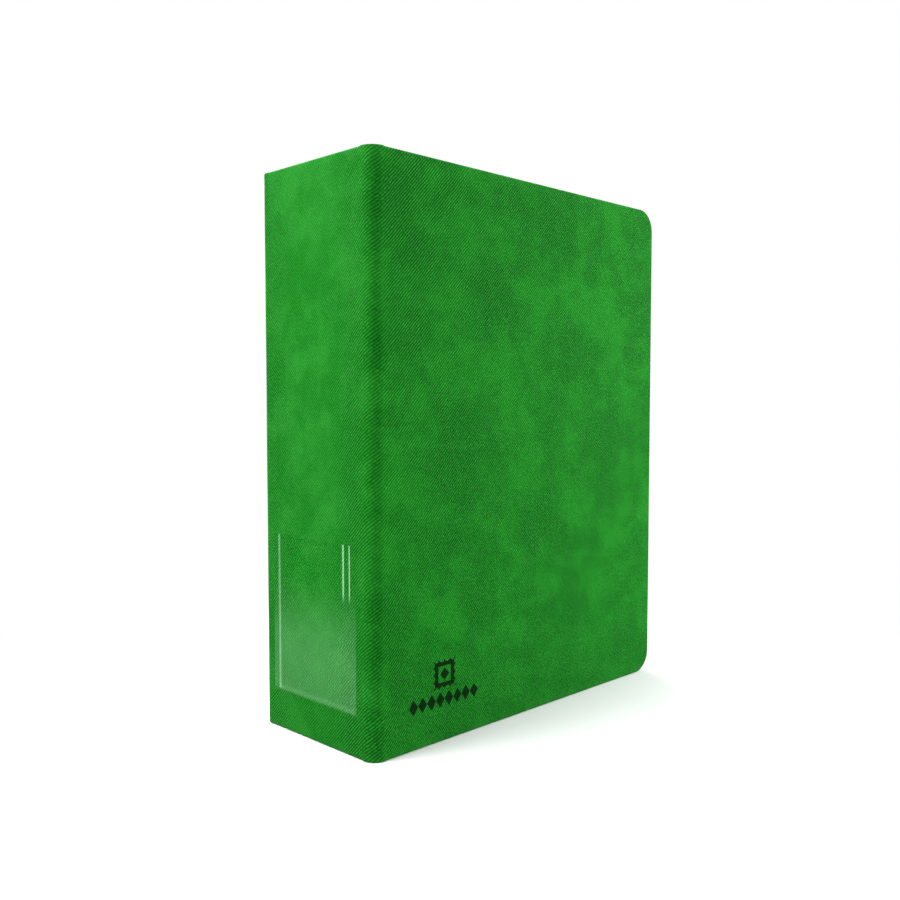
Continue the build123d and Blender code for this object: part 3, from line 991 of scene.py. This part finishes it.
def leaf_wave(index, along, z):
    """Slight cockle of a leaf, growing from its fold to its free edge."""
    reach = smoothstep(along / 120.0)
    lean = 0.35 * math.sin(z / 61.0 + index * 1.9) + 0.2 * math.sin(z / 27.0 + index)
    return reach * (lean + 0.15 * math.sin(along / 33.0 + index * 0.8))


def thin_sheet(piece, index, centre_y, us, zs, under, over, fold_x):
    """Closed thin sheet over the grid us by zs, between two heights off a leaf's middle."""

    def face(height):
        lines = []
        for x in us:
            line = []
            for z in zs:
                y = centre_y - leaf_wave(index, x - fold_x, z) - height(x, z)
                line.append(piece.point((x, y, z)))
            lines.append(line)
        return lines

    front, back = face(over), face(under)
    for i in range(len(us) - 1):
        for j in range(len(zs) - 1):
            piece.face((front[i][j], front[i + 1][j], front[i + 1][j + 1], front[i][j + 1]))
            piece.face((back[i][j], back[i][j + 1], back[i + 1][j + 1], back[i + 1][j]))
    border = [(i, 0) for i in range(len(us))] + [(len(us) - 1, j) for j in range(1, len(zs))]
    border += [(i, len(zs) - 1) for i in reversed(range(len(us) - 1))]
    border += [(0, j) for j in reversed(range(1, len(zs) - 1))]
    for (i, j), (k, l) in zip(border, border[1:] + border[:1]):
        piece.face((front[i][j], back[i][j], back[k][l], front[k][l]))


def strip_faces(low, face):
    """Heights of the two faces of a strip that starts at low, on one side of a leaf. It
    lies tight at its welded foot and stands off a little at its mouth."""

    def near(x, z):
        return face * (STRIP_FOOT + STRIP_GAPE * smoothstep((z - low) / STRIP_HEIGHT))

    def far(x, z):
        return near(x, z) + face * STRIP

    return (near, far) if face > 0 else (far, near)


def leaf(index, joint):
    body = joint["child"]
    fold_x = joint["pos_m"][0] / MM
    centre_y = joint["pos_m"][1] / MM
    sheet_low, sheet_high = box_mm(f"{body}_sheet")
    pockets_low, pockets_high = box_mm(f"{body}_pockets")

    sheet = Piece(body, CARD)
    us = steps(fold_x - FOLD_HALF, fold_x + FOLD_HALF, 4)[:-1]
    us += steps(fold_x + FOLD_HALF, sheet_high.x, 44)
    zs = steps(sheet_low.z, sheet_high.z, 56)
    half = LEAF / 2
    thin_sheet(sheet, index, centre_y, us, zs, lambda x, z: -half, lambda x, z: half, fold_x)
    built = sheet.build()
    start = Vector((fold_x - FOLD_HALF, centre_y, 0)) * MM
    end = Vector((fold_x + FOLD_HALF, centre_y, 0)) * MM
    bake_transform(built, "back_cover", body, start=start, end=end)
    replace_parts(built, f"{body}_sheet")

    strips = Piece(f"{body}_strips", STRIP_FILM)
    middle_z = (sheet_low.z + sheet_high.z) / 2
    us = steps(pockets_low.x, pockets_high.x, 38)
    for row in range(STRIP_ROWS):
        low = middle_z + (row - (STRIP_ROWS - 1) / 2) * STRIP_PITCH - STRIP_HEIGHT / 2
        zs = steps(low, low + STRIP_HEIGHT, 10)
        for face in (1, -1):
            under, over = strip_faces(low, face)
            thin_sheet(strips, index, centre_y, us, zs, under, over, fold_x)
    built = strips.build()
    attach(built, body)
    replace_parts(built, f"{body}_pockets")


for index, joint in enumerate(leaf_joints):
    leaf(index, joint)

# ---- Carried-over CAD nodes ---------------------------------------------------------


METAL_EDGE = 0.18        # width of the softened edges
CARD_EDGE = 0.08
SOFTENED_ANGLE = math.radians(40)


def dress(node, material, bevel):
    """Give a CAD node its material, softened edges and clean shading."""
    piece = frame["nodes"][node]
    piece.data.materials.clear()
    piece.data.materials.append(material)
    piece.data.polygons.foreach_set("use_smooth", [True] * len(piece.data.polygons))
    softened = piece.modifiers.new("edges", "BEVEL")
    softened.width = bevel * MM
    softened.segments = 2
    softened.limit_method = "ANGLE"
    softened.angle_limit = SOFTENED_ANGLE
    softened.harden_normals = True


for node in frame["nodes"]:
    if node.startswith(("ring_", "trigger_", "mounting_")) or node.endswith("_blade"):
        dress(node, NICKEL, METAL_EDGE)
dress("leaf_binding_strips", CARD, CARD_EDGE)

# ---- Studio -------------------------------------------------------------------------

CAMERA_OFFSET = (-315.4, -371.6)     # from the near bottom corner, in plan
CAMERA_HEIGHT = 190.2
CAMERA_PITCH = math.radians(3.006)
CAMERA_LENS = 38.03                  # for a sensor 36 mm wide


def look(thing, direction):
    thing.rotation_euler = Vector(direction).to_track_quat("-Z", "Y").to_euler()


def studio_camera():
    data = bpy.data.cameras.new("camera")
    data.lens = CAMERA_LENS
    data.sensor_width = 36.0
    data.clip_start = 0.01
    camera = bpy.data.objects.new("camera", data)
    bpy.context.scene.collection.objects.link(camera)
    x = SPINE_X + CAMERA_OFFSET[0]
    y = FRONT_Y + CAMERA_OFFSET[1]
    camera.location = Vector((x, y, CAMERA_HEIGHT)) * MM
    level = math.cos(CAMERA_PITCH) * math.sqrt(0.5)
    look(camera, (level, level, -math.sin(CAMERA_PITCH)))
    bpy.context.scene.camera = camera


# Name, place, target, size in metres, and power in watts of each light
SOFTBOXES = (
    ("key_left", (-0.8, 0.3, 0.95), (-0.1, 0, 0.16), (0.6, 0.7), 16.0),
    ("fill_right", (0.62, -0.5, 0.34), (0.12, -0.05, 0.16), (0.4, 0.5), 6.9),
    ("front", (-0.9, -1.1, 0.35), (-0.12, -0.05, 0.16), (0.5, 0.5), 2.6),
    ("top", (0.1, 0.1, 1.8), (0, 0, 0.1), (1.6, 1.6), 20.0),
    ("back_rim", (1.0, 1.6, 1.0), (0, 0, 0.16), (1.0, 1.0), 14.0),
)


def studio_lights():
    for name, place, target, size, power in SOFTBOXES:
        data = bpy.data.lights.new(name, "AREA")
        data.shape = "RECTANGLE"
        data.size, data.size_y = size
        data.energy = power
        light = bpy.data.objects.new(name, data)
        bpy.context.scene.collection.objects.link(light)
        light.location = place
        look(light, Vector(target) - Vector(place))


def studio_floor():
    """Round table, as rings of faces about the middle."""
    piece = Piece("floor", floor_material())
    rings, spokes = 6, 64
    centre = piece.point((0, 0, -FLOOR_DROP))
    lines = []
    for k in range(1, rings + 1):
        radius = FLOOR_REACH * k / rings
        line = []
        for s in range(spokes):
            angle = 2 * math.pi * s / spokes
            place = (radius * math.cos(angle), radius * math.sin(angle), -FLOOR_DROP)
            line.append(piece.point(place))
        lines.append(line)
    for s in range(spokes):
        t = (s + 1) % spokes
        piece.face((centre, lines[0][s], lines[0][t]))
        for one, two in zip(lines, lines[1:]):
            piece.face((one[s], two[s], two[t], one[t]))
    piece.build()


WHITE = (1, 1, 1, 1)
COOL_WHITE = (0.95, 0.98, 1.0, 1)
LIT_STRENGTH = 0.3                   # what the backdrop gives to matt surfaces
MIRRORED_STRENGTH = 0.1              # and what shiny ones reflect of it


def studio_world():
    """White to the camera, a soft grey to everything that is lit or reflected."""
    world = bpy.data.worlds.new("studio")
    bpy.context.scene.world = world
    world.use_nodes = True
    tree = world.node_tree
    tree.nodes.clear()

    def backdrop(colour, strength):
        node = tree.nodes.new("ShaderNodeBackground")
        node.inputs[0].default_value = colour
        node.inputs[1].default_value = strength
        return node

    def choose(ray, otherwise, when):
        node = tree.nodes.new("ShaderNodeMixShader")
        tree.links.new(rays.outputs[ray], node.inputs[0])
        tree.links.new(otherwise.outputs[0], node.inputs[1])
        tree.links.new(when.outputs[0], node.inputs[2])
        return node

    rays = tree.nodes.new("ShaderNodeLightPath")
    lit = backdrop(COOL_WHITE, LIT_STRENGTH)
    unseen = choose("Is Glossy Ray", lit, backdrop(COOL_WHITE, MIRRORED_STRENGTH))
    mix = choose("Is Camera Ray", unseen, backdrop(WHITE, 1.0))
    output = tree.nodes.new("ShaderNodeOutputWorld")
    tree.links.new(mix.outputs[0], output.inputs[0])


studio_camera()
studio_floor()
studio_world()
studio_lights()
bpy.context.scene.view_settings.view_transform = "Standard"
